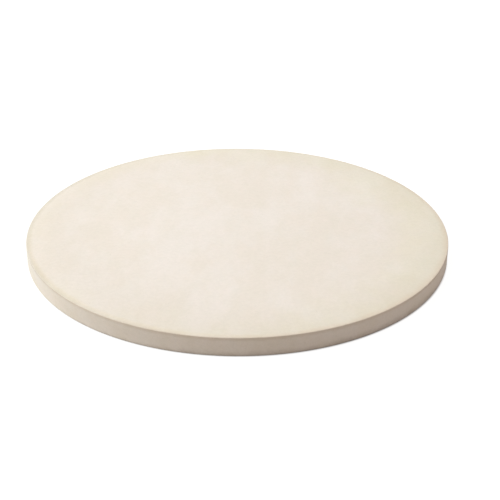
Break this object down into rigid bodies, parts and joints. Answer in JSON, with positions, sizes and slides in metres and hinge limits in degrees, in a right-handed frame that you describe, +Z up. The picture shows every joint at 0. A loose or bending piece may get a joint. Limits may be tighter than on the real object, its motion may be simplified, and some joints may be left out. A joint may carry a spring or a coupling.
{
  "type": "pizza stone",
  "caption": "Round flat baking plate of fired cordierite ceramic with a softly falling shoulder, a small lip round and a rounded foot edge.",
  "frame": {"origin": "centre of the underside, on the surface that the stone lies on", "axes": "+Z up out of the baking face, along the stone's axis; X and Y are any two directions in the underside"},
  "size_m": [0.3799, 0.38, 0.019],
  "materials": {
    "cordierite": "matte"
  },
  "bodies": {
    "root": {"pizza_stone": "cordierite"}
  },
  "joints": []
}
